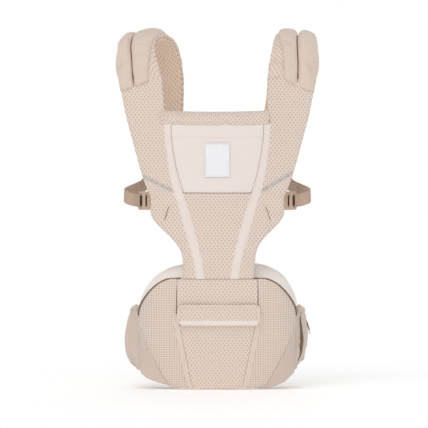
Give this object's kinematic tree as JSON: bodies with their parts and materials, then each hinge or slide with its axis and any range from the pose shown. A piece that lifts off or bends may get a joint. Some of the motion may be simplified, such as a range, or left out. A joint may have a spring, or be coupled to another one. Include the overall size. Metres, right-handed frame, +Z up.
{
  "type": "soft baby carrier with hip seat",
  "caption": "Soft structured baby carrier in beige mesh and cream twill, with a hip seat on a padded waist belt, a fold-down head support and arched shoulder straps.",
  "frame": {"origin": "middle of the base, on the surface that the carrier stands on", "axes": "+X to the viewer's right, -Y the front face (away from the wearer), +Z up"},
  "size_m": [0.3925, 0.2852, 0.7041],
  "materials": {
    "mesh": "matte",
    "fine_mesh": "matte",
    "cream_twill": "matte",
    "beige_twill": "matte",
    "strap_knit": "matte",
    "lining": "matte",
    "webbing": "matte",
    "reflective": "satin",
    "label_cloth": "matte",
    "foam": "matte",
    "keeper_elastic": "matte",
    "buckle_plastic": "satin"
  },
  "bodies": {
    "seat_and_belt": {"seat_core": "foam", "left_seat_cover": "cream_twill", "right_seat_cover": "cream_twill", "base_panel": "beige_twill", "upper_front_panel": "mesh", "front_pocket_panel": "mesh", "left_side_pocket": "fine_mesh", "right_side_pocket": "fine_mesh", "left_seam_piping": "cream_twill", "right_seam_piping": "cream_twill", "belly_pad": "beige_twill", "left_side_panel": "beige_twill", "right_side_panel": "beige_twill"},
    "flap": {"pocket_flap": "mesh"},
    "carrier_body": {"body_panel": "mesh", "body_lining": "lining", "left_binding": "cream_twill", "right_binding": "cream_twill", "left_wing": "mesh", "right_wing": "mesh", "left_reflective_piping": "reflective", "right_reflective_piping": "reflective", "left_side_buckle_socket": "buckle_plastic", "right_side_buckle_socket": "buckle_plastic", "left_anchor_webbing": "webbing", "right_anchor_webbing": "webbing"},
    "left_side_plug": {"left_side_buckle_plug": "buckle_plastic", "left_webbing_loop": "webbing"},
    "right_side_plug": {"right_side_buckle_plug": "buckle_plastic", "right_webbing_loop": "webbing"},
    "head_support": {"head_panel": "cream_twill", "neck_roll": "mesh", "label": "label_cloth"},
    "left_strap": {"left_strap_pad": "strap_knit", "left_strap_lining": "lining", "left_strap_webbing": "webbing", "left_chest_rail": "webbing"},
    "right_strap": {"right_strap_pad": "strap_knit", "right_strap_lining": "lining", "right_strap_webbing": "webbing", "right_chest_rail": "webbing"},
    "chest_strap": {"left_chest_slider": "buckle_plastic", "right_chest_slider": "buckle_plastic", "left_chest_webbing": "webbing", "right_chest_webbing": "webbing", "chest_buckle_socket": "buckle_plastic", "chest_buckle_plug": "buckle_plastic"},
    "left_wing_belt": {"left_belt_wing": "beige_twill", "left_waist_webbing": "webbing", "waist_webbing_tail": "webbing", "webbing_keeper": "keeper_elastic"},
    "right_wing_belt": {"right_belt_wing": "beige_twill", "right_waist_webbing": "webbing", "waist_buckle_socket": "buckle_plastic", "zip_pull": "label_cloth"},
    "waist_plug": {"waist_buckle_plug": "buckle_plastic"},
    "safety_button": {"waist_safety_button": "buckle_plastic"}
  },
  "joints": [
    {"name": "body_fold", "type": "hinge", "parent": "seat_and_belt", "child": "carrier_body", "pos_m": [0, -0.139, 0.2155], "axis": [-1, 0, 0], "range_deg": [-110, 0]},
    {"name": "head_support_fold", "type": "hinge", "parent": "carrier_body", "child": "head_support", "pos_m": [0, -0.1107, 0.383], "axis": [1, 0, 0], "range_deg": [0, 160]},
    {"name": "pocket_flap_lift", "type": "hinge", "parent": "seat_and_belt", "child": "flap", "pos_m": [0, -0.1372, 0.1685], "axis": [-1, 0, 0], "range_deg": [0, 100]},
    {"name": "left_strap_swing", "type": "hinge", "parent": "carrier_body", "child": "left_strap", "pos_m": [-0.149, -0.0685, 0.592], "axis": [1, 0, 0], "range_deg": [0, 110]},
    {"name": "right_strap_swing", "type": "hinge", "parent": "carrier_body", "child": "right_strap", "pos_m": [0.149, -0.0685, 0.592], "axis": [1, 0, 0], "range_deg": [0, 110]},
    {"name": "chest_strap_slide", "type": "slide", "parent": "left_strap", "child": "chest_strap", "axis": [0, 0, 1], "range_m": [-0.03, 0.03]},
    {"name": "left_belt_open", "type": "hinge", "parent": "seat_and_belt", "child": "left_wing_belt", "pos_m": [-0.15, -0.038, 0.09], "axis": [0, 0, 1], "range_deg": [0, 75]},
    {"name": "right_belt_open", "type": "hinge", "parent": "seat_and_belt", "child": "right_wing_belt", "pos_m": [0.15, -0.038, 0.09], "axis": [0, 0, -1], "range_deg": [0, 75]},
    {"name": "left_side_buckle_release", "type": "slide", "parent": "carrier_body", "child": "left_side_plug", "axis": [-0.9397, 0.342, 0], "range_m": [0, 0.022]},
    {"name": "right_side_buckle_release", "type": "slide", "parent": "carrier_body", "child": "right_side_plug", "axis": [0.9397, 0.342, 0], "range_m": [0, 0.022]},
    {"name": "waist_buckle_release", "type": "slide", "parent": "right_wing_belt", "child": "waist_plug", "axis": [-1, 0, 0], "range_m": [0, 0.022]},
    {"name": "waist_button_press", "type": "slide", "parent": "right_wing_belt", "child": "safety_button", "axis": [0, -1, 0], "range_m": [0, 0.002], "stiffness_N_per_m": 400}
  ],
  "couplings": [
    {"joint": "right_strap_swing", "follows": "left_strap_swing", "ratio": 1}
  ]
}
